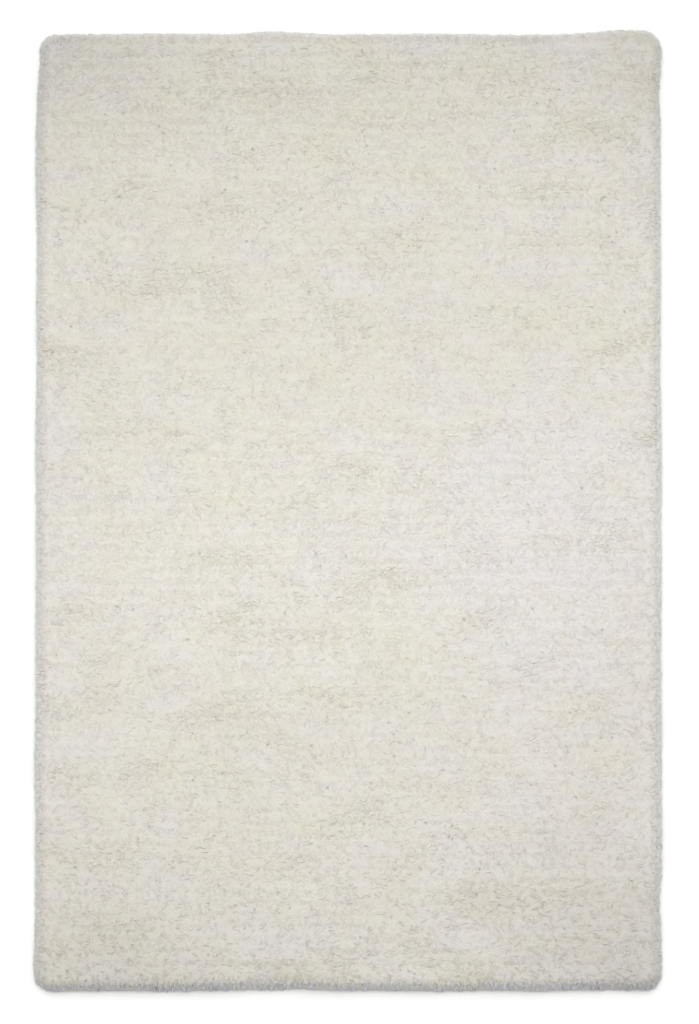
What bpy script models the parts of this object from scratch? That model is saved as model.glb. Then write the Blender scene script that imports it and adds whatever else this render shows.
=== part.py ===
"""Shag rug: one lumpy slab of thick pile, with locks splayed over its rim, lying flat on a floor.

Metres, +Z up. The underside is the plane z = 0 and the origin is its middle.
The width runs along X and the length along Y, and the clumps of tufts are drawn out along X.
"""
import math
import random

import bmesh
import bpy
from mathutils import Vector, noise
from mathutils.geometry import delaunay_2d_cdt

# Driving dimensions
RUG_WIDTH = 1.52  # along X, between the longest locks' tips, before the rim's waver
RUG_LENGTH = 2.355  # along Y, likewise
PILE_HEIGHT = 0.035  # mean height of the pile's top above the floor
OVERHANG = 0.024  # reach of the longest lock beyond the root line
CORNER_RADIUS = 0.045  # at the tips. The root line turns on the same centre
SHOULDER_WIDTH = 0.036  # band inside the root line where the pile rounds off
WALL_LEAN = 0.005  # the side wall's top is this far inside its foot
RIM_WAVER = 0.004  # how strongly the rim wanders in and out of straight
WAVER_LENGTH = 0.25  # about the length of one such wander
WAVER_LAYER = 5.0  # which slice of the noise the waver follows

# Larger swells and hollows of the rim: the place, the span along the rim, and how far it stands out
# x, y, span, outward
RIM_SWELLS = (
    (-0.19, 1.18, 0.080, 0.005),
    (0.68, 1.18, 0.090, 0.008),
    (0.76, 1.03, 0.045, -0.003),
    (0.76, -0.96, 0.055, -0.005),
    (0.46, -1.18, 0.055, 0.004),
    (-0.12, -1.18, 0.055, -0.004),
    (-0.76, -1.12, 0.090, 0.003),
    (-0.76, 1.12, 0.065, -0.006),
)

# Relief of the pile's top: clumps of tufts on broad sags
CLUMP_HEIGHT = 0.009
CLUMP_WIDTH = 0.150  # along X
CLUMP_LENGTH = 0.095  # along Y
SAG_HEIGHT = 0.006
SAG_SPAN = 0.55
SAG_LAYER = 20.0  # which slice of the noise the sags follow
TUFT_HEIGHT = 0.0035  # how far a tuft stands above or below its neighbours
TUFT_PITCH = 0.052  # from tuft to tuft along X
ROW_PITCH = 0.047  # from row to row of tufts along Y
TUFT_WANDER = 0.009  # how far a tuft strays from its even place

# Locks at the rim, spaced along the tips
LOCK_COUNT = 284
SHORTEST_LOCK = 0.64  # share of OVERHANG
SIDE_LEAN = 0.0068  # how far a tip lies to one side of its root
PLACE_WANDER = 0.0015  # how far a lock strays from its even place
SIZE_WANDER = 0.10  # share of a lock's width and height

# A lock's sections, root first. Each one lies flat on the floor.
# share of the lock's reach, height above the floor, width along the rim
LOCK_SECTIONS = (
    (0.00, 0.0290, 0.0205),
    (0.55, 0.0225, 0.0175),
    (1.00, 0.0085, 0.0085),
)

ROOT_HEIGHT = LOCK_SECTIONS[0][1]
ROOT_HALF_WIDTH = RUG_WIDTH / 2 - OVERHANG
ROOT_HALF_LENGTH = RUG_LENGTH / 2 - OVERHANG
ROOT_RADIUS = CORNER_RADIUS - OVERHANG
SHOULDER_RING = 0.36  # share of SHOULDER_WIDTH where a ring of points rounds the shoulder
INNER_POINTS = 0.75  # share of SHOULDER_WIDTH where the tufts' own points begin
UNDERSIDE_PITCH = 0.29  # points inside the underside, so that its faces aren't long slivers
SAME_POINT = 1e-5

PILE_COLOUR = (0.78, 0.74, 0.66, 1.0)
PILE_ROUGHNESS = 0.95
SHARP_ANGLE = math.radians(50)
SEED = 11


def clear_scene():
    for old in list(bpy.data.objects):
        bpy.data.objects.remove(old, do_unlink=True)


def tip_line_length():
    straight = 2 * (RUG_WIDTH + RUG_LENGTH) - 8 * CORNER_RADIUS
    return straight + 2 * math.pi * CORNER_RADIUS


def tip_line(place):
    """Point and outward direction at a distance along the rounded rectangle that the tips lie on."""
    far_x = RUG_WIDTH / 2
    far_y = RUG_LENGTH / 2
    near_x = far_x - CORNER_RADIUS
    near_y = far_y - CORNER_RADIUS
    # length, start, direction, centre of the corner that follows
    sides = (
        (2 * near_x, Vector((-near_x, -far_y)), Vector((1, 0)), Vector((near_x, -near_y))),
        (2 * near_y, Vector((far_x, -near_y)), Vector((0, 1)), Vector((near_x, near_y))),
        (2 * near_x, Vector((near_x, far_y)), Vector((-1, 0)), Vector((-near_x, near_y))),
        (2 * near_y, Vector((-far_x, near_y)), Vector((0, -1)), Vector((-near_x, -near_y))),
    )
    turn = CORNER_RADIUS * math.pi / 2
    place %= tip_line_length()
    for length, start, along, corner in sides:
        outward = Vector((along.y, -along.x))
        if place < length:
            return start + along * place, outward
        place -= length
        if place < turn:
            angle = place / CORNER_RADIUS
            outward = outward * math.cos(angle) + along * math.sin(angle)
            return corner + outward * CORNER_RADIUS, outward
        place -= turn
    return tip_line(0.0)


def rim_wander(point):
    """How far the rim stands out beyond the even rounded rectangle."""
    wander = RIM_WAVER * noise.noise(Vector((point.x / WAVER_LENGTH, point.y / WAVER_LENGTH, WAVER_LAYER)))
    for x, y, span, outward in RIM_SWELLS:
        away = math.dist(point, (x, y)) / span
        wander += outward * math.exp(-away * away)
    return wander


def rim_point(place, beyond):
    """A point that lies beyond the root line, with the wander of a soft edge."""
    point, outward = tip_line(place)
    return point + outward * (beyond - OVERHANG + rim_wander(point))


def depth_inside(x, y):
    """How far a point lies inside the root line."""
    over_x = abs(x) - (ROOT_HALF_WIDTH - ROOT_RADIUS)
    over_y = abs(y) - (ROOT_HALF_LENGTH - ROOT_RADIUS)
    outside = math.hypot(max(over_x, 0.0), max(over_y, 0.0))
    return ROOT_RADIUS - outside - min(max(over_x, over_y), 0.0)


def pile_top(x, y):
    """Height of the pile: clumps on broad sags, rounded off towards the rim."""
    clump = noise.noise(Vector((x / CLUMP_WIDTH, y / CLUMP_LENGTH, 0.0)))
    sag = noise.noise(Vector((x / SAG_SPAN, y / SAG_SPAN, SAG_LAYER)))
    top = PILE_HEIGHT + CLUMP_HEIGHT * clump + SAG_HEIGHT * sag
    depth = max(0.0, min(1.0, depth_inside(x, y) / SHOULDER_WIDTH))
    shoulder = math.sqrt(1 - (1 - depth) ** 2)
    return ROOT_HEIGHT + (top - ROOT_HEIGHT) * shoulder


def lock_sections(place, rng):
    """For each section of a lock: its left and right ends on the floor, its height, and its wall top."""
    place += rng.uniform(-PLACE_WANDER, PLACE_WANDER)
    lean = rng.uniform(-SIDE_LEAN, SIDE_LEAN)
    reach = OVERHANG * rng.uniform(SHORTEST_LOCK, 1.0)
    size = 1 + rng.uniform(-SIZE_WANDER, SIZE_WANDER)
    sections = []
    for share, height, width in LOCK_SECTIONS:
        middle = place + lean * share * share
        ends = (middle - width * size / 2, middle + width * size / 2)
        on_floor = [rim_point(end, reach * share) for end in ends]
        inset = WALL_LEAN if share == 0 else 0.0
        above = [rim_point(end, reach * share - inset) for end in ends]
        sections.append((on_floor, above, height * size))
    return sections


def add_lock(bm, sections):
    """Adds a lock's faces above the floor. Returns its left and right rows of corners, floor ones first."""
    floor_rows = ([], [])
    upper_rows = ([], [])
    for on_floor, above, height in sections:
        for side in (0, 1):
            floor_rows[side].append(bm.verts.new((*on_floor[side], 0.0)))
            upper_rows[side].append(bm.verts.new((*above[side], height)))
    (left, right), (upper_left, upper_right) = floor_rows, upper_rows
    for near in range(len(sections) - 1):
        far = near + 1
        bm.faces.new((upper_left[near], upper_left[far], upper_right[far], upper_right[near]))
        bm.faces.new((left[near], left[far], upper_left[far], upper_left[near]))
        bm.faces.new((upper_right[near], upper_right[far], right[far], right[near]))
    bm.faces.new((left[-1], right[-1], upper_right[-1], upper_left[-1]))
    return floor_rows, upper_rows


def add_rim(bm):
    """Adds the side wall with its locks. Returns the ring of its top corners and the ring of its foot."""
    rng = random.Random(SEED)
    step = tip_line_length() / LOCK_COUNT
    locks = [add_lock(bm, lock_sections(index * step, rng)) for index in range(LOCK_COUNT)]
    top_ring = []
    floor_ring = []
    for (floor_rows, upper_rows), (next_floor, next_upper) in zip(locks, locks[1:] + locks[:1]):
        wall = (floor_rows[1][0], next_floor[0][0], next_upper[0][0], upper_rows[1][0])
        bm.faces.new(wall)
        top_ring += [upper_rows[0][0], upper_rows[1][0]]
        floor_ring += floor_rows[0] + floor_rows[1][::-1]
    return top_ring, floor_ring


def fill_flat(bm, ring, loose, height_of, facing_up):
    """Covers the region inside a ring of corners with triangles, through the loose places as well."""
    places = [corner.co.xy for corner in ring] + [Vector(place) for place in loose]
    outline = list(range(len(ring)))
    found, _, faces, origins, _, _ = delaunay_2d_cdt(places, [], [outline], 1, SAME_POINT)
    corners = []
    for place, origin in zip(found, origins):
        if origin and origin[0] < len(ring):
            corners.append(ring[origin[0]])
        else:
            corners.append(bm.verts.new((*place, height_of(*place))))
    for face in faces:
        ordered = face if facing_up else face[::-1]
        bm.faces.new([corners[index] for index in ordered])


def staggered_rows(pitch_x, pitch_y, margin, wander, rng):
    """Staggered rows of places, each strayed a little, deeper inside the root line than the margin."""
    places = []
    rows = int(ROOT_HALF_LENGTH / pitch_y) + 1
    columns = int(ROOT_HALF_WIDTH / pitch_x) + 1
    for row in range(-rows, rows + 1):
        stagger = 0.5 * (row % 2)
        for column in range(-columns, columns + 1):
            x = (column + stagger) * pitch_x + rng.uniform(-wander, wander)
            y = row * pitch_y + rng.uniform(-wander, wander)
            if depth_inside(x, y) > margin:
                places.append((x, y))
    return places


def shoulder_places():
    """Evenly spaced places round a rectangle on the shoulder, a little inside the side wall."""
    half_x = ROOT_HALF_WIDTH - SHOULDER_RING * SHOULDER_WIDTH
    half_y = ROOT_HALF_LENGTH - SHOULDER_RING * SHOULDER_WIDTH
    corners = [(-half_x, -half_y), (half_x, -half_y), (half_x, half_y), (-half_x, half_y)]
    places = []
    for start, end in zip(corners, corners[1:] + corners[:1]):
        count = round(math.dist(start, end) / TUFT_PITCH)
        for index in range(count):
            share = index / count
            places.append(tuple(Vector(start).lerp(Vector(end), share)))
    return places


def add_top(bm, ring):
    rng = random.Random(SEED + 1)

    def tuft_top(x, y):
        return pile_top(x, y) + rng.uniform(-TUFT_HEIGHT, TUFT_HEIGHT)

    margin = INNER_POINTS * SHOULDER_WIDTH
    tufts = staggered_rows(TUFT_PITCH, ROW_PITCH, margin, TUFT_WANDER, rng)
    fill_flat(bm, ring, shoulder_places() + tufts, tuft_top, True)


def add_underside(bm, ring):
    inner = staggered_rows(UNDERSIDE_PITCH, UNDERSIDE_PITCH, SHOULDER_WIDTH, 0.0, random.Random(SEED))
    fill_flat(bm, ring, inner, lambda x, y: 0.0, False)


def centre_on_origin(bm):
    """Moves the rug sideways so that the middle of its outline is the origin."""
    xs = [corner.co.x for corner in bm.verts]
    ys = [corner.co.y for corner in bm.verts]
    middle = Vector(((max(xs) + min(xs)) / 2, (max(ys) + min(ys)) / 2, 0.0))
    for corner in bm.verts:
        corner.co -= middle


def pile_material():
    material = bpy.data.materials.new("ivory_pile")
    material.use_nodes = True
    shader = material.node_tree.nodes["Principled BSDF"]
    shader.inputs["Base Color"].default_value = PILE_COLOUR
    shader.inputs["Roughness"].default_value = PILE_ROUGHNESS
    shader.inputs["Metallic"].default_value = 0.0
    return material


def make_rug():
    bm = bmesh.new()
    top_ring, floor_ring = add_rim(bm)
    add_top(bm, top_ring)
    add_underside(bm, floor_ring)
    centre_on_origin(bm)
    mesh = bpy.data.meshes.new("shag_rug")
    bm.to_mesh(mesh)
    bm.free()
    mesh.materials.append(pile_material())
    mesh.shade_smooth()
    mesh.set_sharp_from_angle(angle=SHARP_ANGLE)
    rug = bpy.data.objects.new("shag_rug", mesh)
    bpy.context.scene.collection.objects.link(rug)


clear_scene()
make_rug()
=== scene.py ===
"""Looks of the shag rug: a woven ground, a dense lower pile, and leaning locks over the top and the rim.

Metres, +Z up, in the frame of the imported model: width along X, length along Y, floor at z = 0.
The near end, at the bottom of the picture, is at -Y, and the far end at +Y.
"""
import math

import bpy
import numpy as np
from mathutils import Matrix, Vector, noise
from mathutils.geometry import delaunay_2d_cdt


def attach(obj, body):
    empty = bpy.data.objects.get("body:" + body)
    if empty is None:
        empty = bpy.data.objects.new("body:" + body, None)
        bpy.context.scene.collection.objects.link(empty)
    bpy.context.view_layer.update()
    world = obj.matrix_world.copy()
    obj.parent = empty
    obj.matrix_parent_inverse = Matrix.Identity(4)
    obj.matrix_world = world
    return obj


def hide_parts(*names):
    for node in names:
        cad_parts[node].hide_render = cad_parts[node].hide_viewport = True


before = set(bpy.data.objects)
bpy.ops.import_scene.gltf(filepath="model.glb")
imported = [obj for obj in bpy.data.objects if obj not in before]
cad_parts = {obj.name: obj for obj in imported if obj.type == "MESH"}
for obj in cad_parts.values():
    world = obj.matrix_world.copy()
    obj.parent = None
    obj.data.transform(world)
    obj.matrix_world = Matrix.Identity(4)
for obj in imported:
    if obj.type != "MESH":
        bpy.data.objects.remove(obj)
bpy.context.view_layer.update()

SEED = 5
TINY = 1e-6
LEAST_LENGTH = 1e-9

# The solid's own sizes, which the pile follows
RUG_WIDTH = 1.52
RUG_LENGTH = 2.355
PILE_HEIGHT = 0.035
CORNER_RADIUS = 0.045
RIM_WIDTH = 0.024  # the pile rounds off over this width, from its full height to the floor
RIM_WAVER = 0.004
CLUMP_HEIGHT = 0.009
SAG_HEIGHT = 0.006
SLOPE_STEP = 0.004  # over which the pile's slope is taken

# Larger swells and hollows of the rim: x, y, span, outward
RIM_SWELLS = (
    (-0.19, 1.18, 0.080, 0.005),
    (0.68, 1.18, 0.090, 0.008),
    (0.76, 1.03, 0.045, -0.003),
    (0.76, -0.96, 0.055, -0.005),
    (0.46, -1.18, 0.055, 0.004),
    (-0.12, -1.18, 0.055, -0.004),
    (-0.76, -1.12, 0.090, 0.003),
    (-0.76, 1.12, 0.065, -0.006),
)

# Fields of smooth noise: span along X, span along Y, layer
RIM_WAVES = (0.25, 0.25, 5.0)
CLUMPS = (0.150, 0.095, 0.0)
SAGS = (0.55, 0.55, 20.0)
TONE_CLOUDS = (0.16, 0.10, 31.0)
TONE_SPOTS = (0.055, 0.035, 32.0)
WARM_CLOUDS = (0.13, 0.11, 33.0)
WARM_SPOTS = (0.045, 0.035, 34.0)
PINK_CLOUDS = (0.11, 0.09, 35.0)
PINK_SPOTS = (0.040, 0.032, 36.0)
NAP = (0.33, 0.21, 41.0)
SHAGGY_PATCHES = (0.20, 0.13, 43.0)
ROW_WAVES = (0.22, 0.12, 44.0)

# Woven ground
GROUND_BOTTOM = 0.0004
GROUND_THICKNESS = 0.0024
GROUND_INSET = 0.013  # inside the tips of the rim's locks
GROUND_PITCH = 0.060
OUTLINE_POINTS = 720

# Dense lower pile
BED_GAP = 0.0002  # over the ground
BED_BOTTOM = GROUND_BOTTOM + GROUND_THICKNESS + BED_GAP
BED_SHARE = 0.88  # of the pile's height, and of the rim's width
BED_FOOT = RIM_WIDTH * (1 - BED_SHARE)  # how far inside the tips of the rim it starts
BED_FOOT_HEIGHT = 0.004
BED_PITCH = 0.0100
BED_STRAY = 0.2  # share of that pitch
BED_RINGS = (0.0, 0.10, 0.35, 0.7)  # share of the way from the bed's foot to where the rim ends
BED_UNEVEN = 0.0004
BED_WARMTH = -0.20  # its wool is cooler than the locks
BED_FOOT_SHADE = 0.88  # and darker towards its foot: painted shade in the gaps of the rim's side

# Locks over the top
LOCK_PITCH_X = 0.0054
LOCK_PITCH_Y = 0.00483  # about six rows of locks to one row of tufts
LOCK_STRAY = 0.0014
LOCK_LENGTH = 0.018
LENGTH_RANGE = (0.8, 1.2)
SIZE_RANGE = (0.8, 1.2)
LOCK_HALF_WIDTH = 0.0028
LOCK_HALF_THICKNESS = 0.0006
LOCK_DEPTH = 0.0003  # how far below the lower pile's top the locks have their roots
LOCK_LOWEST = 0.0003  # no point of a lock lies lower over the floor
LOCK_TONE = 0.006  # how far single locks differ in tone
LOCK_TINT = 0.06  # and in warmth and pinkness
STRIPS = 4  # pieces that the locks over the top are split into

# Bunches are locks that lean together. Two rows of them make one row of tufts, and those two lean apart
BUNCH_PITCH = 0.0145
BUNCH_DRAWS = 400  # more bunches than the rug has either way
BUNCH_STRAY = 0.3  # share of their pitch
BUNCH_PULL = 0.08  # how far locks are drawn to the middle of their bunch
BUNCH_LIFT = 0.0003
BUNCH_TONE = 0.004
BUNCH_TINT = 0.12
BUNCH_ROUNDNESS = 0.11  # how far the wool's normals spread over a bunch
ROW_ROUNDNESS = 0.10  # and over a row of tufts
ROW_WAVE = 0.004  # how far the rows of tufts wave
ROW_LIGHT_AND_SHADE = 0.015  # painted light and shade: how much lighter the far side of a row is, which faces the light, and how much darker its near side
ROWS_EVERYWHERE = 0.6  # how strongly the rows show all over the rug
ROWS_MIDDLE = 0.62  # and how much more about the place below, and at both ends
ROWS_ENDS = 0.9
ROWS_PLACE = -0.10
ROWS_SPAN = 0.30

# Which way the locks over the top lie
NAP_SHARE = 0.35  # what leads them: the nap that turns slowly over the rug, their bunch, and chance
BUNCH_SHARE = 0.40
OWN_SHARE = 0.75
NAP_TURNS = 1.1
ROW_LIE = (2.5, 1.5)  # at the near and the far end, how much more they lie along the rows than across
ROW_PARTING = 0.25  # how far the two sides of a row lean apart
EDGE_WIDTH = 0.030  # over this width the locks turn outward to the rim
EDGE_CURVE = 1.5  # over 1, most of that turn comes close to the rim
EDGE_TURN = 0.6  # share of its own heading that a lock has lost there
EDGE_FACING = 0.25  # how far the wool's normals turn outward there
SIDE_WIDTH = 0.08  # nearer to a side than this, outward is towards that side

# How far they lean, from upright
LOCK_LEAN = math.radians(86)
LEAN_SPREAD = math.radians(1.9)
LEAN_LIMITS = (math.radians(45), math.radians(89))
LAST_LEAN = math.radians(5)  # a lock's outer half leans this much further
LAST_LEAN_LIMIT = math.radians(93)
LAST_TURN = math.radians(34)  # and turns sideways by about this much

# Where the pile is shaggier, locks stand up more, differ more, start lower and curl over more
SHAG_LEAN = math.radians(3.0)
SHAG_SPREAD = math.radians(3.0)
SHAG_DEPTH = 0.0009
SHAG_LAST_LEAN = math.radians(4)
SHAGGY_MIDDLE = 0.05
SHAGGY_NEAR = 1.32  # how shaggy the near end is, and how fast that grows towards it
SHAGGY_NEAR_CURVE = 2.2
SHAGGY_FAR = 0.28
SHAGGY_FAR_CURVE = 3
SHAGGY_PATCH = 0.28
SHAGGY_PATCH_MIDDLE = 0.8  # share of a patch's strength in the middle, which grows by 1 towards the ends
SHAGGIEST = 1.4

# Short dark hairs of natural wool among the locks
SPECK_SHARE = 0.0022
SPECK_FLAT = 0.4  # of that share where the pile lies flat, and how much more where it is shaggy
SPECK_SHAGGY = 1.2
SPECK_TONE = 0.64
SPECK_WARMTH = 0.5
SPECK_SIZE = 0.50
SPECK_LIFT = 0.004

# Locks over the rim, in tufts that overlap in levels like shingles
RIM_TUFT = 0.0155
RIM_LEVELS = 4
TUFT_LOCKS = 9
TUFT_JITTER = 0.45  # of a tuft's place, in steps along the rim and from level to level
RIM_START = math.radians(-16)
RIM_STEP = math.radians(22)  # from one level to the next
RIM_REACH = math.radians(34)  # how far round the rim a lock goes from its root
RIM_REACH_SPREAD = math.radians(6)
RIM_STRAGGLE = 0.45  # how much longer or shorter a tuft is
RIM_END = math.radians(89)  # no tip lies further round
RIM_DIP = 0.065  # share by which the rim's top lies lower, level with the locks over the top
RIM_ROOTS = (0.92, 0.82)  # how deep the roots lie, at the rim's top and its foot
RIM_SCATTER = 0.12  # of the locks over a tuft
RIM_JITTER = 0.5  # of their roots, in levels
RIM_GATHER = 0.4  # how far a lock's tip is drawn to the middle of its tuft
TUFT_SWAY = 0.005  # how far a tuft's tips go sideways, and a single tip
LOCK_SWAY = 0.0015
BEND_SWAY = 0.4  # share of that at a lock's bend
BEND_SHARE = 0.95  # how far out bends lie, as a share of the tips
TIP_LIMIT = 1.07  # no tip stands out further
RIM_BULGE = (0.008, 0.05)  # how far a tuft's sides lie below its middle, at the rim's top and its foot
RIM_UNEVEN = 0.014  # how far tufts stand out or back, and how much more they do at the rim's foot
FOOT_UNEVEN = 0.024
LOCK_UNEVEN = 0.008
RIM_RUFFLE = 0.018  # how far bends stand out or back, most half-way round the rim
RIM_SIZES = (0.75, 1.25)
RIM_FINER = 0.10  # locks are this much finer at the rim's foot
RIM_ROUNDNESS = 0.2  # how far the wool's normals spread over a tuft
FOOT_SOFTNESS = 0.75  # how much of the soft normal a lock keeps at the rim's foot

# Wool of the rim, with painted light and shade
RIM_LIGHT_AND_SHADE = (-0.015, 0.075)  # its tone at the rim's top and its foot: painted shade at the top, painted light at the foot against the shade of the rim's side
RIM_SHADE = 0.04  # painted shade: how much darker a tuft's sides are at the foot
TUFT_TONE = 0.015
RIM_LOCK_TONE = 0.008
RIM_LOCK_TINT = 0.10
RIM_EVENNESS = 0.75  # towards its foot the rim's wool takes one cool grey, a painted tint of shade
RIM_SHADE_WARMTH = -0.45
RIM_SHADE_PINKNESS = -0.10
RIM_FADE = 0.6  # under 1, the rim's painted shade tint sets in early
SHADOWED_SHARE = 0.22  # locks at the rim's foot darkened by painted shade, as if they lay deep between others
SHADOWED_TONE = 0.32
SHADOWED_SIDES = 0.1  # share of that darkness on the sides that don't face the front

# What more the front has, which faces away from the light and shows more of its tufts. Its darker tuft sides,
# lifted tone, wider spread of tones and cooler tint are painted shade and light
FRONT_BULGE = 0.16
FRONT_SHADE = 0.50
FRONT_PAINTED_LIGHT = 0.15
FRONT_FINER = 0.25
FRONT_SHADE_SPREAD = 6  # how many times more its locks differ in tone: painted shade between them
FRONT_SHADE_WARMTH = -1.25
FRONT_SHADE_PINKNESS = 0.15
FRONT_ROUNDNESS = 0.35
FRONT_SOFTNESS = -0.40


# --- The rug's plan and relief -------------------------------------------------------------------------


def noise_field(x, y, field):
    """Smooth noise from about -0.7 to 0.7 at each place."""
    span_x, span_y, layer = field
    pairs = zip((x / span_x).ravel().tolist(), (y / span_y).ravel().tolist())
    return np.array([noise.noise((a, b, layer)) for a, b in pairs]).reshape(x.shape)


def tip_line_length():
    return 2 * (RUG_WIDTH + RUG_LENGTH) - 8 * CORNER_RADIUS + 2 * math.pi * CORNER_RADIUS


def tip_line(place):
    """Points and outward directions at distances along the rounded rectangle of the rim's tips."""
    near = np.array([RUG_WIDTH / 2 - CORNER_RADIUS, RUG_LENGTH / 2 - CORNER_RADIUS])
    turn = CORNER_RADIUS * math.pi / 2
    spans = 2 * near[[0, 1, 0, 1]]
    starts = np.concatenate([[0.0], np.cumsum(spans + turn)])
    place = np.mod(place, starts[-1])
    side = np.clip(np.searchsorted(starts, place, side="right") - 1, 0, 3)
    run = place - starts[side]
    straight = np.minimum(run, spans[side])
    base = side * math.pi / 2
    angle = base + np.maximum(run - spans[side], 0.0) / CORNER_RADIUS
    outward = np.stack([np.sin(angle), -np.cos(angle)], 1)
    along = np.stack([np.cos(base), np.sin(base)], 1)
    corner = np.array([(-1, -1), (1, -1), (1, 1), (-1, 1)])[side] * near
    return corner + along * straight[:, None] + outward * CORNER_RADIUS, outward


def rim_wander(x, y):
    """How far the rim stands out beyond the even rounded rectangle."""
    wander = RIM_WAVER * noise_field(x, y, RIM_WAVES)
    for swell_x, swell_y, span, outward in RIM_SWELLS:
        away = np.hypot(x - swell_x, y - swell_y) / span
        wander += outward * np.exp(-away * away)
    return wander


def rim_points(place, inset):
    """Points this far inside the tips of the rim, which wander in and out a little."""
    point, outward = tip_line(place)
    wander = rim_wander(point[:, 0], point[:, 1])
    return point + outward * (wander - inset)[:, None]


def outline(inset):
    place = np.linspace(0, tip_line_length(), OUTLINE_POINTS, endpoint=False)
    return rim_points(place, np.full(OUTLINE_POINTS, inset))


def tip_depth(x, y):
    """How far places lie inside the tips of the rim."""
    over_x = np.abs(x) - (RUG_WIDTH / 2 - CORNER_RADIUS)
    over_y = np.abs(y) - (RUG_LENGTH / 2 - CORNER_RADIUS)
    outside = np.hypot(np.maximum(over_x, 0), np.maximum(over_y, 0))
    even = CORNER_RADIUS - outside - np.minimum(np.maximum(over_x, over_y), 0)
    return even + rim_wander(x, y)


def pile_top(x, y):
    """Height of the pile's top: clumps on broad sags, as on the solid."""
    clump = noise_field(x, y, CLUMPS)
    sag = noise_field(x, y, SAGS)
    return PILE_HEIGHT + CLUMP_HEIGHT * clump + SAG_HEIGHT * sag


def pile_slope(x, y):
    here = pile_top(x, y)
    slope_x = (pile_top(x + SLOPE_STEP, y) - here) / SLOPE_STEP
    slope_y = (pile_top(x, y + SLOPE_STEP) - here) / SLOPE_STEP
    return slope_x, slope_y


def rounding(depth):
    """Share of full height at a share of the way in from the rim's foot to where its rounding ends."""
    return np.sqrt(1 - (1 - np.clip(depth, 0, 1)) ** 2)


def bed_top(x, y):
    """Height of the lower pile, which keeps a share of the pile's height and of the rim's rounding."""
    top = BED_SHARE * pile_top(x, y)
    inward = (tip_depth(x, y) - BED_FOOT) / (RIM_WIDTH - BED_FOOT)
    return BED_FOOT_HEIGHT + (top - BED_FOOT_HEIGHT) * rounding(inward)


def end_share(y):
    """0 across the rug's middle, growing to 1 at both of its ends."""
    return (2 * y / RUG_LENGTH) ** 2


def shagginess(x, y):
    """From 0 where the pile lies flat to 1 or more where it is shaggier: towards the ends, and in patches."""
    end = np.clip(2 * y / RUG_LENGTH, -1, 1)
    near = SHAGGY_NEAR * np.maximum(-end, 0) ** SHAGGY_NEAR_CURVE
    far = SHAGGY_FAR * np.maximum(end, 0) ** SHAGGY_FAR_CURVE
    patches = SHAGGY_PATCH * (SHAGGY_PATCH_MIDDLE + end ** 2) * noise_field(x, y, SHAGGY_PATCHES)
    return np.clip(SHAGGY_MIDDLE + (near + far) + patches, 0, SHAGGIEST)


def row_line(x, y):
    """Places across the rows of tufts, which wave a little."""
    return y + ROW_WAVE * noise_field(x, y, ROW_WAVES)


def rows_show(y):
    """How strongly the rows of tufts show."""
    middle = np.exp(-((y - ROWS_PLACE) / ROWS_SPAN) ** 2)
    return ROWS_EVERYWHERE + ROWS_MIDDLE * middle + ROWS_ENDS * end_share(y)


def staggered_rows(pitch_x, pitch_y, stray, rng):
    """Staggered rows of places over the rug's rectangle, each strayed a little."""
    rows = int(RUG_LENGTH / 2 / pitch_y) + 2
    columns = int(RUG_WIDTH / 2 / pitch_x) + 2
    column, row = np.meshgrid(np.arange(-columns, columns + 1), np.arange(-rows, rows + 1))
    x = (column + 0.5 * (row % 2)) * pitch_x + rng.uniform(-stray, stray, column.shape)
    y = row * pitch_y + rng.uniform(-stray, stray, column.shape)
    return x.ravel(), y.ravel()


# --- Directions ----------------------------------------------------------------------------------------


def unit(vectors):
    return vectors / np.maximum(np.linalg.norm(vectors, axis=-1, keepdims=True), LEAST_LENGTH)


def level_direction(angle):
    return np.stack([np.cos(angle), np.sin(angle)], 1)


def turned(heading, angle):
    cos, sin = np.cos(angle), np.sin(angle)
    x, y = heading[:, 0], heading[:, 1]
    return np.stack([x * cos - y * sin, x * sin + y * cos], 1)


def reach(heading, lean, length):
    """Steps of these lengths along level headings, leant this far from upright."""
    return np.column_stack([heading * (np.sin(lean) * length)[:, None], np.cos(lean) * length])


def outward_at(x, y):
    """Direction straight out to the nearest stretch of rim."""
    over_x = np.maximum(np.abs(x) - (RUG_WIDTH / 2 - SIDE_WIDTH), 0) + TINY
    over_y = np.maximum(np.abs(y) - (RUG_LENGTH / 2 - SIDE_WIDTH), 0) + TINY
    return unit(np.stack([np.sign(x) * over_x, np.sign(y) * over_y], 1))


# --- Wool colours over the rug -------------------------------------------------------------------------

# The wool's own warmth and pinkness, before patches, clouds and shade
WARMTH = 0.59
PINKNESS = 0.57
WARMTH_RANGE = (-2, 1)  # below 0 the wool is bluer than the cool tint

# How strongly clouds and smaller spots show in tone, warmth and pinkness
TONE_CLOUD = 0.030
TONE_CLOUD_MIDDLE = 0.18  # share of the clouds' tone in the middle, which grows by 1 towards the ends
TONE_SPOT = 0.006
WARM_CLOUD = 0.36
WARM_SPOT = 0.38
PINK_CLOUD = 0.45
PINK_SPOT = 0.45

# Light and shade on the pile, beside what the lights give
SLOPE_LIGHTER = 0.11  # tone given back where the pile slopes away from the light
SLOPE_SHARE = 0.22  # soft wool shades the slopes of its clumps less than a hard surface does
SLOPE_SHADE = 0.12  # how shaded such a slope is, and wool where it is shaggier
SHAG_SHADE = 0.025
WARMER_SHADE = 9.0  # wool looks warmer by this much where it is shaded
EDGE_SPAN = 0.035  # painted shade: the wool is darker and cooler towards the rim, over about this width
EDGE_PAINTED_SHADE = 0.06
EDGE_SHADE_COOLER = 0.55
SHOULDER_PAINTED_SHADE = 0.035  # painted shade where locks turn outward
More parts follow.
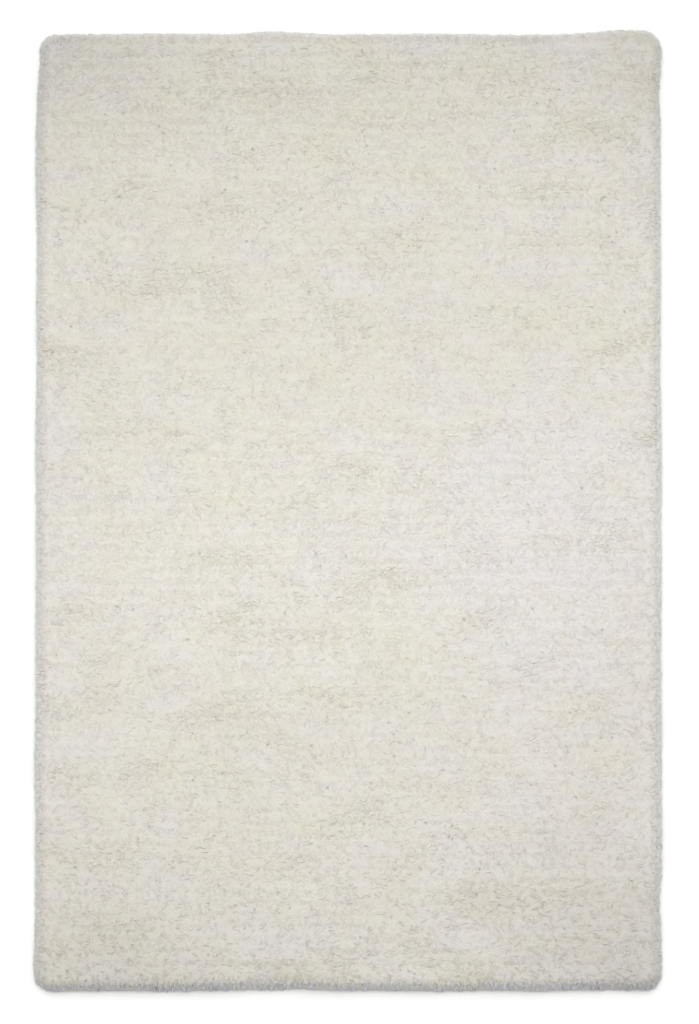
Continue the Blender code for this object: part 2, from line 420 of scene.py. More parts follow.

# Soft patches, given and corrected in steps against mean tones of large regions of the photograph:
# x, y, half width, half length, tone, warmth, pinkness
# Their tone is partly the wool's own and partly painted light and shade: lighter over the middle, darker
# towards the ends and corners
WOOL_LIGHT_AND_SHADE_PATCHES = (
    (0.05, 0.02, 0.90, 0.80, 0.078, -0.10, 0.00),
    (-0.35, -0.20, 0.45, 0.30, 0.018, 0.00, 0.00),
    (-0.10, -0.84, 0.40, 0.15, 0.018, 0.00, 0.00),
    (0.00, 1.30, 1.60, 0.38, -0.102, 0.05, 0.08),
    (0.10, -1.30, 1.60, 0.54, -0.078, -0.12, 0.10),
    (-0.90, 0.10, 0.28, 1.40, -0.018, -0.02, 0.08),
    (-0.78, 1.20, 0.30, 0.28, -0.135, -0.10, 0.00),
    (0.78, 1.16, 0.24, 0.30, -0.078, 0.02, -0.02),
    (-0.78, -1.20, 0.50, 0.28, -0.115, 0.10, 0.00),
    (0.78, -1.20, 0.36, 0.34, -0.145, -0.18, 0.15),
    (-0.50, 0.88, 0.34, 0.34, -0.014, 0.18, -0.02),
    (0.02, 1.02, 0.28, 0.14, -0.015, 0.30, -0.15),
    (0.10, 0.50, 0.60, 0.28, -0.028, 0.18, 0.00),
    (0.54, 0.43, 0.22, 0.05, -0.010, 0.40, -0.20),
    (0.45, -0.06, 0.30, 0.40, 0.014, -0.42, 0.12),
    (0.55, -0.60, 0.40, 0.45, -0.012, 0.00, 0.20),
    (0.12, -0.37, 0.18, 0.15, -0.006, 0.30, -0.30),
    (-0.32, -0.62, 0.34, 0.25, -0.014, 0.18, 0.00),
    (-0.30, 0.20, 0.45, 0.35, -0.004, 0.15, -0.08),
    (0.76, -0.42, 0.20, 0.28, -0.022, 0.00, 0.00),
)


def wool_shade(x, y):
    """Tone about 1, and warmth and pinkness mostly from 0 to 1, of the wool at these places, with painted
    light and shade.
    """
    tone = np.ones(x.shape)
    warmth = np.full(x.shape, WARMTH)
    pinkness = np.full(x.shape, PINKNESS)
    for patch_x, patch_y, half_width, half_length, lighter, warmer, pinker in WOOL_LIGHT_AND_SHADE_PATCHES:
        near = np.exp(-((x - patch_x) / half_width) ** 2 - ((y - patch_y) / half_length) ** 2)
        tone += lighter * near
        warmth += warmer * near
        pinkness += pinker * near
    cloud = noise_field(x, y, TONE_CLOUDS) * (TONE_CLOUD_MIDDLE + end_share(y))
    lighter = TONE_CLOUD * cloud + TONE_SPOT * noise_field(x, y, TONE_SPOTS)
    slope_y = pile_slope(x, y)[1]
    tone += lighter + SLOPE_LIGHTER * slope_y
    shaded = SLOPE_SHADE * slope_y + SHAG_SHADE * shagginess(x, y) - lighter
    warmth += WARMER_SHADE * shaded
    warmth += WARM_CLOUD * noise_field(x, y, WARM_CLOUDS) + WARM_SPOT * noise_field(x, y, WARM_SPOTS)
    pinkness += PINK_CLOUD * noise_field(x, y, PINK_CLOUDS) + PINK_SPOT * noise_field(x, y, PINK_SPOTS)
    return tone, warmth, pinkness


def paint(mesh, along, tone, warmth, pinkness):
    """Stores share of a lock's length, half the tone, warmth and pinkness at each point of a mesh."""
    shade = np.ones((len(mesh.vertices), 4), np.float32)
    shade[:, 0] = along
    shade[:, 1] = tone / 2
    shade[:, 2] = np.clip(warmth, *WARMTH_RANGE)
    shade[:, 3] = np.clip(pinkness, 0, 1)
    mesh.color_attributes.new("wool", "FLOAT_COLOR", "POINT").data.foreach_set("color", shade.ravel())


# --- Meshes --------------------------------------------------------------------------------------------

TIPS = outline(0.0)
MIDDLE = (TIPS.max(0) + TIPS.min(0)) / 2
INSIDE_OUTLINE = 1  # delaunay_2d_cdt then keeps the triangles inside the outline
SHARP_ANGLE = math.radians(60)


def add_piece(name, mesh):
    """Adds a mesh as a piece, moved so that the middle of the rug's outline is the origin."""
    mesh.transform(Matrix.Translation((-MIDDLE[0], -MIDDLE[1], 0)))
    piece = bpy.data.objects.new(name, mesh)
    bpy.context.scene.collection.objects.link(piece)
    return piece


def slab_mesh(name, foot, inner, top_of, bottom):
    """A closed slab with a flat bottom: foot is its outline, and top_of gives the height over it."""
    places = [Vector(place) for place in np.concatenate([foot, inner])]
    ring = len(foot)
    found, _, faces, _, _, _ = delaunay_2d_cdt(places, [], [list(range(ring))], INSIDE_OUTLINE, TINY)
    plan = np.array([tuple(place) for place in found])
    top = np.column_stack([plan, top_of(plan[:, 0], plan[:, 1])])
    under = np.column_stack([foot, np.full(ring, bottom)])
    below = [len(top) + k for k in range(ring)]
    around = [(below[k], below[(k + 1) % ring], (k + 1) % ring, k) for k in range(ring)]
    mesh = bpy.data.meshes.new(name)
    mesh.from_pydata(np.concatenate([top, under]).tolist(), [], faces + around + [below[::-1]])
    mesh.shade_smooth()
    mesh.set_sharp_from_angle(angle=SHARP_ANGLE)
    return mesh


# A lock is a bent spindle: a ring of three points at its bend, a buried root, and a tip
RING = np.arange(3)
NEXT = (RING + 1) % 3
ROOT, TIP = 3, 4
LOCK_POINTS = 5
LOCK_ALONG = [0.5, 0.5, 0.5, 0.0, 1.0]  # share of its length at each of its points
LOCK_FACES = [(NEXT[k], k, ROOT) for k in RING] + [(k, NEXT[k], TIP) for k in RING]
SOFTNESS = 0.91  # share of the pile's normal in a lock's own
ROLL = 0.15  # how far locks roll about their length
MAP_MARGIN = 0.08


def lock_mesh(name, root, bend, tip, size, facing, tone, warmth, pinkness, rng):
    """One mesh of many locks. Their normals turn part of the way to the pile's own, as soft wool's do."""
    count = len(root)
    axis = unit(tip - root)
    level = unit(np.cross(facing, axis))
    side = unit(level + ROLL * rng.normal(size=(count, 3)))
    side = unit(side - axis * (side * axis).sum(1, keepdims=True))
    across = np.cross(axis, side)
    turn = math.pi / 2 + 2 * math.pi * RING / 3
    wide = side[:, None] * np.cos(turn)[None, :, None]
    thick = across[:, None] * np.sin(turn)[None, :, None]
    spoke = unit(wide * LOCK_HALF_THICKNESS + thick * LOCK_HALF_WIDTH)
    ring = bend[:, None] + (wide * LOCK_HALF_WIDTH + thick * LOCK_HALF_THICKNESS) * size[:, None, None]
    points = np.concatenate([ring, root[:, None], tip[:, None]], 1)
    points[:, :, 2] = np.maximum(points[:, :, 2], LOCK_LOWEST)
    corners = (np.array(LOCK_FACES).ravel()[None] + LOCK_POINTS * np.arange(count)[:, None]).ravel()
    faces = len(LOCK_FACES) * count

    mesh = bpy.data.meshes.new(name)
    mesh.vertices.add(count * LOCK_POINTS)
    mesh.vertices.foreach_set("co", points.astype(np.float32).ravel())
    mesh.loops.add(len(corners))
    mesh.loops.foreach_set("vertex_index", corners.astype(np.int32))
    mesh.polygons.add(faces)
    mesh.polygons.foreach_set("loop_start", np.arange(0, 3 * faces, 3, dtype=np.int32))
    mesh.update(calc_edges=True)
    mesh.shade_smooth()
    own = np.concatenate([spoke, -axis[:, None], axis[:, None]], 1)
    soft = unit(own * (1 - SOFTNESS) + facing[:, None] * SOFTNESS)
    mesh.normals_split_custom_set_from_vertices(soft.reshape(-1, 3))
    shades = [np.repeat(shade, LOCK_POINTS) for shade in (tone, warmth, pinkness)]
    paint(mesh, np.tile(LOCK_ALONG, count), *shades)
    add_lock_map(mesh, count)
    return mesh


def add_lock_map(mesh, count):
    """A texture map with a square cell for each lock, its root at the bottom and its tip at the top."""
    columns = math.ceil(math.sqrt(count))
    cell = []
    for k in RING:
        cell += [((k + 1) / 3, 0.5), (k / 3, 0.5), ((k + 0.5) / 3, 0.0)]
    for k in RING:
        cell += [(k / 3, 0.5), ((k + 1) / 3, 0.5), ((k + 0.5) / 3, 1.0)]
    cell = np.array(cell) * (1 - 2 * MAP_MARGIN) + MAP_MARGIN
    index = np.arange(count)
    corner = np.stack([index % columns, index // columns], 1)
    spots = (corner[:, None] + cell[None]) / columns
    mesh.uv_layers.new(name="OFBake").uv.foreach_set("vector", spots.astype(np.float32).ravel())


# --- Locks: root, bend, tip, size, normal, tone, warmth and pinkness of each ---------------------------


def bunches(x, y, rng):
    """Five random values and the middle of the bunch that a lock here is in, and its side of the row."""
    row_place = row_line(x, y)
    row = np.floor(row_place / BUNCH_PITCH).astype(int)
    half = 0.5 * (row % 2)
    column = np.floor(x / BUNCH_PITCH + half).astype(int)
    bunch = rng.uniform(-1, 1, (BUNCH_DRAWS, BUNCH_DRAWS, 5))[row % BUNCH_DRAWS, column % BUNCH_DRAWS]
    middle_x = (column + 0.5 - half + BUNCH_STRAY * bunch[:, 0]) * BUNCH_PITCH
    middle_y = y - row_place + (row + 0.5 + BUNCH_STRAY * bunch[:, 1]) * BUNCH_PITCH
    return bunch, middle_x, middle_y, np.where(row % 2 == 0, 1.0, -1.0)


def top_locks():
    """The locks over the top."""
    rng = np.random.default_rng(SEED)
    x, y = staggered_rows(LOCK_PITCH_X, LOCK_PITCH_Y, LOCK_STRAY, rng)
    keep = tip_depth(x, y) > RIM_WIDTH
    x, y = x[keep], y[keep]
    count = len(x)
    bunch, middle_x, middle_y, row_side = bunches(x, y, rng)
    x = x + (middle_x - x) * BUNCH_PULL
    y = y + (middle_y - y) * BUNCH_PULL

    # Which way they lie
    nap = 2 * math.pi * NAP_TURNS * noise_field(x, y, NAP)
    own = rng.uniform(0, 2 * math.pi, count)
    heading = NAP_SHARE * level_direction(nap) + BUNCH_SHARE * bunch[:, 2:4]
    heading += OWN_SHARE * level_direction(own)
    heading[:, 0] *= np.interp(y, (-RUG_LENGTH / 2, RUG_LENGTH / 2), ROW_LIE)
    heading[:, 1] += ROW_PARTING * row_side
    outward = outward_at(x, y)
    depth = tip_depth(x, y)
    edge = np.clip(1 - (depth - RIM_WIDTH) / EDGE_WIDTH, 0, 1)[:, None] ** EDGE_CURVE
    heading = unit(unit(heading) * (1 - EDGE_TURN * edge) + outward * edge)

    # How they stand, and where their three points are
    shag = shagginess(x, y)
    lean = LOCK_LEAN - SHAG_LEAN * shag + rng.normal(0, 1, count) * (LEAN_SPREAD + SHAG_SPREAD * shag)
    lean = np.clip(lean, *LEAN_LIMITS)
    length = LOCK_LENGTH * rng.uniform(*LENGTH_RANGE, count)
    speck = rng.random(count) < SPECK_SHARE * (SPECK_FLAT + SPECK_SHAGGY * shag)
    length[speck] *= SPECK_SIZE
    base = bed_top(x, y) - LOCK_DEPTH - SHAG_DEPTH * shag + BUNCH_LIFT * bunch[:, 4] + SPECK_LIFT * speck
    root = np.column_stack([x, y, base])
    bend = root + reach(heading, lean, length / 2)
    after = turned(heading, rng.normal(0, LAST_TURN, count))
    further = np.clip(lean + LAST_LEAN + SHAG_LAST_LEAN * shag, 0, LAST_LEAN_LIMIT)
    tip = bend + reach(after, further, length / 2)
    for points in (bend, tip):
        inward = tip_depth(points[:, 0], points[:, 1])
        ceiling = pile_top(x, y) * rounding(inward / RIM_WIDTH)
        points[:, 2] = np.where(inward < RIM_WIDTH, np.minimum(points[:, 2], ceiling), points[:, 2])
    size = rng.uniform(*SIZE_RANGE, count) * np.where(speck, SPECK_SIZE, 1.0)

    # Their wool, with painted light and shade
    tone, warmth, pinkness = wool_shade(x, y)
    row_shows = rows_show(y)
    # Painted light and shade over the rows of tufts
    tone += BUNCH_TONE * bunch[:, 0] + rng.normal(0, LOCK_TONE, count) + ROW_LIGHT_AND_SHADE * row_shows * row_side
    tone[speck] *= SPECK_TONE
    warmth[speck] += SPECK_WARMTH
    # Painted shade: darker and cooler towards the rim, and darker where the locks turn outward
    rim_share = np.exp(-depth / EDGE_SPAN)
    tone -= EDGE_PAINTED_SHADE * rim_share + SHOULDER_PAINTED_SHADE * edge[:, 0]
    warmth -= EDGE_SHADE_COOLER * rim_share
    warmth += BUNCH_TINT * bunch[:, 1] + rng.normal(0, LOCK_TINT, count)
    pinkness += BUNCH_TINT * bunch[:, 4] + rng.normal(0, LOCK_TINT, count)
    dome_x = (x - middle_x) / BUNCH_PITCH * BUNCH_ROUNDNESS
    dome_y = (y - middle_y) / BUNCH_PITCH * BUNCH_ROUNDNESS + ROW_ROUNDNESS * row_shows * row_side
    slope_x, slope_y = pile_slope(x, y)
    facing = np.column_stack([dome_x - SLOPE_SHARE * slope_x, dome_y - SLOPE_SHARE * slope_y, np.ones(count)])
    facing[:, :2] += EDGE_FACING * edge * outward
    return root, bend, tip, size, unit(facing), tone, warmth, pinkness


def rim_section(place, angle, share):
    """Points on the rounded rim: angle 0 is its top and a right angle its foot. Share 1 is the tips."""
    top = rim_points(place, np.full(place.shape, RIM_WIDTH))
    full_height = pile_top(top[:, 0], top[:, 1])
    flat = rim_points(place, RIM_WIDTH * (1 - np.sin(angle) * share))
    dip = 1 - RIM_DIP * np.cos(angle) ** 4
    return np.column_stack([flat, full_height * np.cos(angle) * share * dip])


def graded(ends, low, more=0.0):
    """From the first of two values at the rim's top to the second, and what more there is, at its foot."""
    return ends[0] + (ends[1] - ends[0] + more) * low


def rim_locks():
    """The locks that hang over the rim."""
    rng = np.random.default_rng(SEED + 1)
    around = round(tip_line_length() / RIM_TUFT)
    levels, columns = np.meshgrid(np.arange(RIM_LEVELS), np.arange(around), indexing="ij")
    level, column = levels.ravel(), columns.ravel()
    tufts = len(level)
    steps = column + 0.5 * (level % 2) + rng.uniform(-TUFT_JITTER, TUFT_JITTER, tufts)
    tuft_place = steps * tip_line_length() / around
    tuft_angle = RIM_START + RIM_STEP * (level + rng.uniform(-TUFT_JITTER, TUFT_JITTER, tufts))
    wild = rng.uniform(-1, 1, (tufts, 4))

    # Each tuft's locks lie side by side: across goes from -1 to 1 over a tuft
    tuft = np.repeat(np.arange(tufts), TUFT_LOCKS)
    count = len(tuft)
    across = np.tile(np.linspace(-1, 1, TUFT_LOCKS), tufts) + rng.normal(0, RIM_SCATTER, count)
    between = across ** 2
    bunch = wild[tuft]
    place = tuft_place[tuft] + across * RIM_TUFT / 2
    angle = tuft_angle[tuft] + rng.uniform(-RIM_JITTER, RIM_JITTER, count) * RIM_STEP
    sway = -RIM_GATHER * across * RIM_TUFT / 2 + TUFT_SWAY * bunch[:, 0] + rng.normal(0, LOCK_SWAY, count)
    straggle = 1 + RIM_STRAGGLE * bunch[:, 3]
    tip_angle = angle + RIM_REACH * straggle + rng.normal(0, RIM_REACH_SPREAD, count)
    tip_angle = np.minimum(tip_angle, RIM_END)
    slant = 0.5 * (angle + tip_angle)
    steep = np.clip(np.sin(slant), 0, 1)
    low = steep ** 2
    outward = tip_line(place)[1]
    front = np.clip(-outward[:, 1], 0, 1)

    # How far they stand out, and where their three points are
    share = 1 + (RIM_UNEVEN + FOOT_UNEVEN * low) * (1 + front) * bunch[:, 1]
    share -= graded(RIM_BULGE, low, FRONT_BULGE * front) * between
    share += rng.normal(0, LOCK_UNEVEN, count) * (1 + low) * (1 + front)
    ruffle = RIM_RUFFLE * np.sin(2 * slant) * rng.normal(size=count)
    root = rim_section(place, angle, graded(RIM_ROOTS, low))
    bend = rim_section(place + BEND_SWAY * sway, slant, BEND_SHARE * share + ruffle)
    tip = rim_section(place + sway, tip_angle, np.minimum(share, TIP_LIMIT))
    size = rng.uniform(*RIM_SIZES, count) * (1 - (RIM_FINER + FRONT_FINER * front) * low)
    for points in (root, bend, tip):
        points[:, 2] = np.maximum(points[:, 2], LOCK_HALF_THICKNESS * size)

    # Their wool, with painted light and shade
    tone, warmth, pinkness = wool_shade(root[:, 0], root[:, 1])
    # Painted light at the rim's foot, and painted shade at its top, between tufts and on some locks at its
    # foot
    tone += graded(RIM_LIGHT_AND_SHADE, low, FRONT_PAINTED_LIGHT * front)
    tone += TUFT_TONE * bunch[:, 2] + rng.normal(0, RIM_LOCK_TONE, count) * (1 + FRONT_SHADE_SPREAD * front * low)
    tone -= (RIM_SHADE * low + FRONT_SHADE * front * np.sqrt(low)) * between
    shadowed = SHADOWED_SIDES + (1 - SHADOWED_SIDES) * front
    tone -= SHADOWED_TONE * low * shadowed * (rng.random(count) < SHADOWED_SHARE)
    # Painted shade: the rim's wool turns one cool grey towards its foot, more so at the front
    fade = steep ** RIM_FADE
    warmth = warmth * (1 - RIM_EVENNESS * fade) + (RIM_SHADE_WARMTH + FRONT_SHADE_WARMTH * front) * fade
    pinkness = pinkness * (1 - RIM_EVENNESS * fade) + (RIM_SHADE_PINKNESS + FRONT_SHADE_PINKNESS * front) * fade
    warmth += rng.normal(0, RIM_LOCK_TINT, count)
    roundness = RIM_ROUNDNESS + FRONT_ROUNDNESS * front
    along = np.stack([-outward[:, 1], outward[:, 0]], 1) * (across * roundness)[:, None]
    facing = unit(np.column_stack([outward * np.sin(slant)[:, None] + along, np.cos(slant)]))
    facing *= (1 - (1 - FOOT_SOFTNESS - FRONT_SOFTNESS * front) * low)[:, None]
    return root, bend, tip, size, facing, tone, warmth, pinkness


# --- Materials -----------------------------------------------------------------------------------------

# Wool
# The roots, and with them the lower pile, are a little lighter than the tips: painted light against the shade
# deeper in the pile
TIP_COLOUR = (0.711, 0.693, 0.641, 1)
ROOT_COLOUR = (0.722, 0.706, 0.662, 1)
COOL_TINT = (0.988, 0.980, 1.0, 1)
WARM_TINT = (1.0, 0.980, 0.905, 1)
GREEN_TINT = (0.986, 1.0, 0.986, 1)
PINK_TINT = (1.0, 0.974, 1.0, 1)
WOOL_FINISH = {"Roughness": 0.92, "Specular IOR Level": 0.15, "Sheen Weight": 0.12, "Sheen Roughness": 0.6}

# Noise runs mostly between these two values
NOISE_LOW, NOISE_HIGH = 0.3, 0.7

# The locks' fine grain and fibres: scale and detail of their noise
GRAIN = (330.0, 2.0)
GRAIN_TONE = (0.972, 1.028)
FIBRES = (900.0, 3.0)
FIBRE_BUMP = {"Strength": 0.3, "Distance": 0.0004}

# The lower pile's strands, which lie in another direction in each small cell
STRAND_CELLS = 105.0
STRAND_WAVES = {"Scale": 62.0, "Distortion": 5.0, "Detail": 2.0, "Detail Scale": 2.0}
STRAND_TONE = (0.95, 1.04)
STRAND_BUMP = {"Strength": 0.4, "Distance": 0.0010}

# Undyed cotton of the ground, mottled by noise of this scale and detail
WEAVE_WAVES = {"Scale": 110.0, "Distortion": 0.6, "Detail": 1.0}
WEAVE_DARKER = 0.35
WEAVE_BUMP = {"Strength": 0.6, "Distance": 0.0008}
MOTTLE = (24.0, 4.0)
DARK_COTTON = (0.60, 0.54, 0.42, 1)
LIGHT_COTTON = (0.68, 0.63, 0.52, 1)
COTTON_FINISH = {"Roughness": 0.9}


def new_material(name):
    material = bpy.data.materials.new(name)
    material.use_nodes = True
    return material, material.node_tree, material.node_tree.nodes["Principled BSDF"]


def feed(tree, node, inputs):
    """Sets inputs of a node to values, or links them to the output sockets given instead."""
    for key, given in dict(inputs).items():
        if isinstance(given, bpy.types.NodeSocket):
            tree.links.new(given, node.inputs[key])
        else:
            node.inputs[key].default_value = given


def add_node(tree, kind, inputs=(), **settings):
    node = tree.nodes.new(kind)
    for key, value in settings.items():
        setattr(node, key, value)
    feed(tree, node, inputs)
    return node


def mix_colour(tree, blend, factor, first, second):
    inputs = {0: factor, 6: first, 7: second}
    mix = add_node(tree, "ShaderNodeMix", inputs, data_type="RGBA", blend_type=blend, clamp_factor=False)
    return mix.outputs[2]


def combined(tree, operation, first, second):
    return add_node(tree, "ShaderNodeMath", {0: first, 1: second}, operation=operation).outputs[0]


def scaled(tree, source, low, high, new_low, new_high):
    values = (source, low, high, new_low, new_high)
    return add_node(tree, "ShaderNodeMapRange", enumerate(values)).outputs[0]


def noise_output(tree, place, texture):
    scale, detail = texture
    inputs = {"Vector": place, "Scale": scale, "Detail": detail}
    return add_node(tree, "ShaderNodeTexNoise", inputs).outputs["Fac"]


def wave_output(tree, place, waves, direction="X"):
    inputs = {"Vector": place, **waves}
    return add_node(tree, "ShaderNodeTexWave", inputs, bands_direction=direction).outputs["Fac"]


def dress(tree, shader, colour, relief, bump, finish):
    """Gives a shader its colour, its bump from a relief, and its plain values."""
    normal = add_node(tree, "ShaderNodeBump", {**bump, "Height": relief}).outputs[0]
    feed(tree, shader, {"Base Color": colour, "Normal": normal, **finish})


def strand_pattern(tree, place):
    cells = add_node(tree, "ShaderNodeTexVoronoi", {"Vector": place, "Scale": STRAND_CELLS})
    chance = add_node(tree, "ShaderNodeSeparateColor", {0: cells.outputs["Color"]}).outputs[0]
    inputs = {"Vector": place, "Angle": scaled(tree, chance, 0, 1, 0, 2 * math.pi)}
    rotated = add_node(tree, "ShaderNodeVectorRotate", inputs, rotation_type="Z_AXIS").outputs[0]
    return wave_output(tree, rotated, STRAND_WAVES)


def wool_material(name, strands):
    """Matt ivory wool. The mesh's wool colours hold share of length, half the tone, warmth and pinkness."""
    material, tree, shader = new_material(name)
    stored = add_node(tree, "ShaderNodeAttribute", attribute_name="wool")
    parts = add_node(tree, "ShaderNodeSeparateColor", {0: stored.outputs["Color"]})
    along, half_tone, warmth = parts.outputs
    place = add_node(tree, "ShaderNodeTexCoord").outputs["Object"]
    length_mix = mix_colour(tree, "MIX", along, ROOT_COLOUR, TIP_COLOUR)
    tint = mix_colour(tree, "MIX", warmth, COOL_TINT, WARM_TINT)
    blush = mix_colour(tree, "MIX", stored.outputs["Alpha"], GREEN_TINT, PINK_TINT)
    wool = mix_colour(tree, "MULTIPLY", 1.0, mix_colour(tree, "MULTIPLY", 1.0, length_mix, tint), blush)
    if strands:
        relief = strand_pattern(tree, place)
        fine = scaled(tree, relief, 0, 1, *STRAND_TONE)
    else:
        fine = scaled(tree, noise_output(tree, place, GRAIN), NOISE_LOW, NOISE_HIGH, *GRAIN_TONE)
        relief = noise_output(tree, place, FIBRES)
    tone = combined(tree, "MULTIPLY", combined(tree, "MULTIPLY", half_tone, fine), 2.0)
    grey = add_node(tree, "ShaderNodeCombineColor", {0: tone, 1: tone, 2: tone}).outputs[0]
    colour = mix_colour(tree, "MULTIPLY", 1.0, wool, grey)
    dress(tree, shader, colour, relief, STRAND_BUMP if strands else FIBRE_BUMP, WOOL_FINISH)
    return material


def ground_material():
    """Plain-woven undyed cotton, seen only from below."""
    material, tree, shader = new_material("woven_ground")
    place = add_node(tree, "ShaderNodeTexCoord").outputs["Object"]
    threads = [wave_output(tree, place, WEAVE_WAVES, direction) for direction in ("X", "Y")]
    weave = combined(tree, "MAXIMUM", *threads)
    mottle = scaled(tree, noise_output(tree, place, MOTTLE), NOISE_LOW, NOISE_HIGH, 0, 1)
    cotton = mix_colour(tree, "MIX", mottle, DARK_COTTON, LIGHT_COTTON)
    colour = mix_colour(tree, "MULTIPLY", WEAVE_DARKER, cotton, weave)
    dress(tree, shader, colour, weave, WEAVE_BUMP, COTTON_FINISH)
    return material


# --- Pieces --------------------------------------------------------------------------------------------


def make_ground():
    rng = np.random.default_rng(SEED + 2)
    x, y = staggered_rows(GROUND_PITCH, GROUND_PITCH, 0.0, rng)
    inner = np.stack([x, y], 1)[tip_depth(x, y) > GROUND_INSET + GROUND_PITCH / 2]

    def top_of(a, b):
        return np.full(a.shape, GROUND_BOTTOM + GROUND_THICKNESS)

    mesh = slab_mesh("woven_ground", outline(GROUND_INSET), inner, top_of, GROUND_BOTTOM)
    mesh.materials.append(ground_material())
    return add_piece("woven_ground", mesh)


def make_bed():
    rng = np.random.default_rng(SEED + 3)
    rings = [outline(BED_FOOT + share * (RIM_WIDTH - BED_FOOT)) for share in BED_RINGS]
    x, y = staggered_rows(BED_PITCH, BED_PITCH, BED_PITCH * BED_STRAY, rng)
    inner = np.stack([x, y], 1)[tip_depth(x, y) > RIM_WIDTH]

    def top_of(a, b):
        return bed_top(a, b) + rng.uniform(-BED_UNEVEN, BED_UNEVEN, a.shape) * (tip_depth(a, b) > RIM_WIDTH)

    mesh = slab_mesh("lower_pile", rings[0], np.concatenate([*rings[1:], inner]), top_of, BED_BOTTOM)
    points = np.empty(len(mesh.vertices) * 3, np.float32)
    mesh.vertices.foreach_get("co", points)
    x, y = points.reshape(-1, 3).astype(float)[:, :2].T
    tone, warmth, pinkness = wool_shade(x, y)
    # Painted light and shade over the rows of tufts, as on the locks
    tone += ROW_LIGHT_AND_SHADE * rows_show(y) * np.sin(math.pi * row_line(x, y) / BUNCH_PITCH)
    # Painted shade towards the lower pile's foot
    tone *= BED_FOOT_SHADE + (1 - BED_FOOT_SHADE) * np.clip(tip_depth(x, y) / RIM_WIDTH, 0, 1)
    paint(mesh, 0.0, tone, warmth + BED_WARMTH, pinkness)
    mesh.materials.append(wool_material("ivory_wool_lower", strands=True))
    return add_piece("lower_pile", mesh)


def make_locks():
    """The locks on the top, in strips along the length, and the locks over the rim."""
    rng = np.random.default_rng(SEED + 4)
    wool = wool_material("ivory_wool_locks", strands=False)
    parts = top_locks()
    lengthwise = parts[0][:, 1]
    edges = np.quantile(lengthwise, np.linspace(0, 1, STRIPS + 1))
    edges[0] -= 1  # takes in the lock that the first edge runs through
    meshes = []
    for strip in range(STRIPS):
        inside = (lengthwise > edges[strip]) & (lengthwise <= edges[strip + 1])
        chosen = [part[inside] for part in parts]
        meshes.append(lock_mesh(f"pile_locks_{strip + 1}", *chosen, rng))
    meshes.append(lock_mesh("rim_locks", *rim_locks(), rng))
    for mesh in meshes:
        mesh.materials.append(wool)
    return [add_piece(mesh.name, mesh) for mesh in meshes]


def declare(ground, bed, locks):
    for piece in (ground, bed, *locks):
        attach(piece, "root")
        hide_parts("shag_rug")


# --- Floor, light and camera ---------------------------------------------------------------------------

FLOOR_HALF = 90.0
FLOOR_DROP = 0.0004  # the floor lies this far below z = 0, clear of the pile
FLOOR_FINISH = {"Base Color": (0.97, 0.97, 0.97, 1), "Roughness": 0.9, "Specular IOR Level": 0.1}

HORIZON_LIGHT = (0.87, 0.935, 1.0, 1)
ZENITH_LIGHT = (1.0, 0.985, 0.95, 1)
ROOM_STRENGTH = 0.74
ROOM_TILT = 0.27  # how much more light comes from beyond the far end, and less from before the near one
SUN_STRENGTH = 1.30
SUN_SOFTNESS = math.radians(60)  # its width in the sky
SUN_TILT = math.radians(18)  # from straight above towards the rug's far end
SUN_LIGHT = (0.99, 0.99, 0.975)

PICTURE_WIDTH = 699
PICTURE_HEIGHT = 1024
RUG_PIXELS = 626  # width of the rug in the photograph
RUG_CENTRE = (348.5, 509.8)  # its middle there
CAMERA_ELEVATION = math.radians(81)
CAMERA_DISTANCE = 60.0
CAMERA_NEAREST = 1.0
CAMERA_FURTHEST = 300.0
SENSOR = 36.0  # millimetres, along the picture's height


def make_floor():
    half, z = FLOOR_HALF, -FLOOR_DROP
    corners = [(-half, -half, z), (half, -half, z), (half, half, z), (-half, half, z)]
    mesh = bpy.data.meshes.new("floor")
    mesh.from_pydata(corners, [], [(0, 1, 2, 3)])
    floor = bpy.data.objects.new("floor", mesh)
    bpy.context.scene.collection.objects.link(floor)
    material, tree, shader = new_material("pale_floor")
    feed(tree, shader, FLOOR_FINISH)
    mesh.materials.append(material)


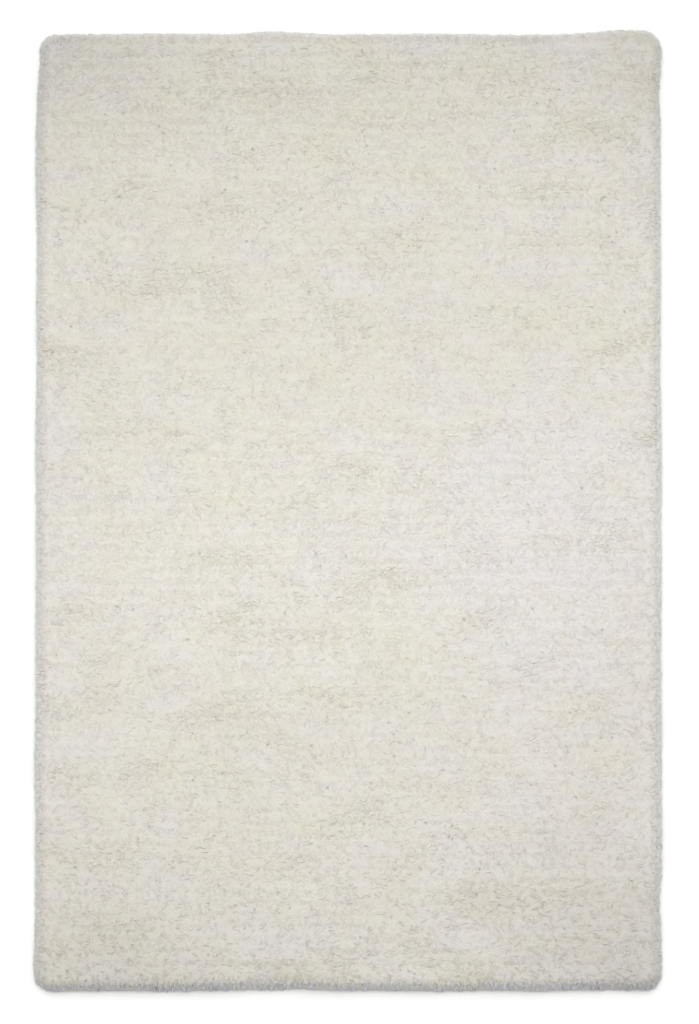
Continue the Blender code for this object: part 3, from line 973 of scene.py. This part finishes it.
def light_room():
    """Soft light from all round: cool near the floor, warm above, and stronger from the far end."""
    world = bpy.data.worlds.new("studio")
    bpy.context.scene.world = world
    world.use_nodes = True
    tree = world.node_tree
    sky = add_node(tree, "ShaderNodeTexCoord").outputs["Generated"]
    direction = add_node(tree, "ShaderNodeSeparateXYZ", {0: sky})
    height = scaled(tree, direction.outputs["Z"], 0, 1, 0, 1)
    colour = mix_colour(tree, "MIX", height, HORIZON_LIGHT, ZENITH_LIGHT)
    near, far = ROOM_STRENGTH - ROOM_TILT, ROOM_STRENGTH + ROOM_TILT
    strength = scaled(tree, direction.outputs["Y"], -1, 1, near, far)
    feed(tree, tree.nodes["Background"], {"Color": colour, "Strength": strength})


def add_overhead_light():
    light = bpy.data.lights.new("overhead", "SUN")
    light.angle = SUN_SOFTNESS
    light.energy = SUN_STRENGTH
    light.color = SUN_LIGHT
    lamp = bpy.data.objects.new("overhead", light)
    lamp.rotation_euler = (-SUN_TILT, 0, 0)
    bpy.context.scene.collection.objects.link(lamp)


def aim_camera():
    """Almost straight above, along the rug's length, far off so that its sides stay parallel."""
    metres_per_pixel = RUG_WIDTH / RUG_PIXELS
    camera = bpy.data.cameras.new("camera")
    camera.sensor_fit = "AUTO"
    camera.sensor_width = SENSOR
    camera.lens = SENSOR * CAMERA_DISTANCE / (metres_per_pixel * PICTURE_HEIGHT)
    camera.clip_start = CAMERA_NEAREST
    camera.clip_end = CAMERA_FURTHEST
    back = Vector((0, -math.cos(CAMERA_ELEVATION), math.sin(CAMERA_ELEVATION)))
    right = Vector((1, 0, 0))
    up = back.cross(right)
    across = (PICTURE_WIDTH / 2 - RUG_CENTRE[0]) * metres_per_pixel
    down = (RUG_CENTRE[1] - PICTURE_HEIGHT / 2) * metres_per_pixel
    target = right * across + up * down
    holder = bpy.data.objects.new("camera", camera)
    holder.location = target + back * CAMERA_DISTANCE
    holder.rotation_mode = "QUATERNION"
    holder.rotation_quaternion = (-back).to_track_quat("-Z", "Y")
    bpy.context.scene.collection.objects.link(holder)
    bpy.context.scene.camera = holder


aim_camera()
make_floor()
light_room()
add_overhead_light()
bpy.context.scene.view_settings.view_transform = "Standard"
declare(make_ground(), make_bed(), make_locks())
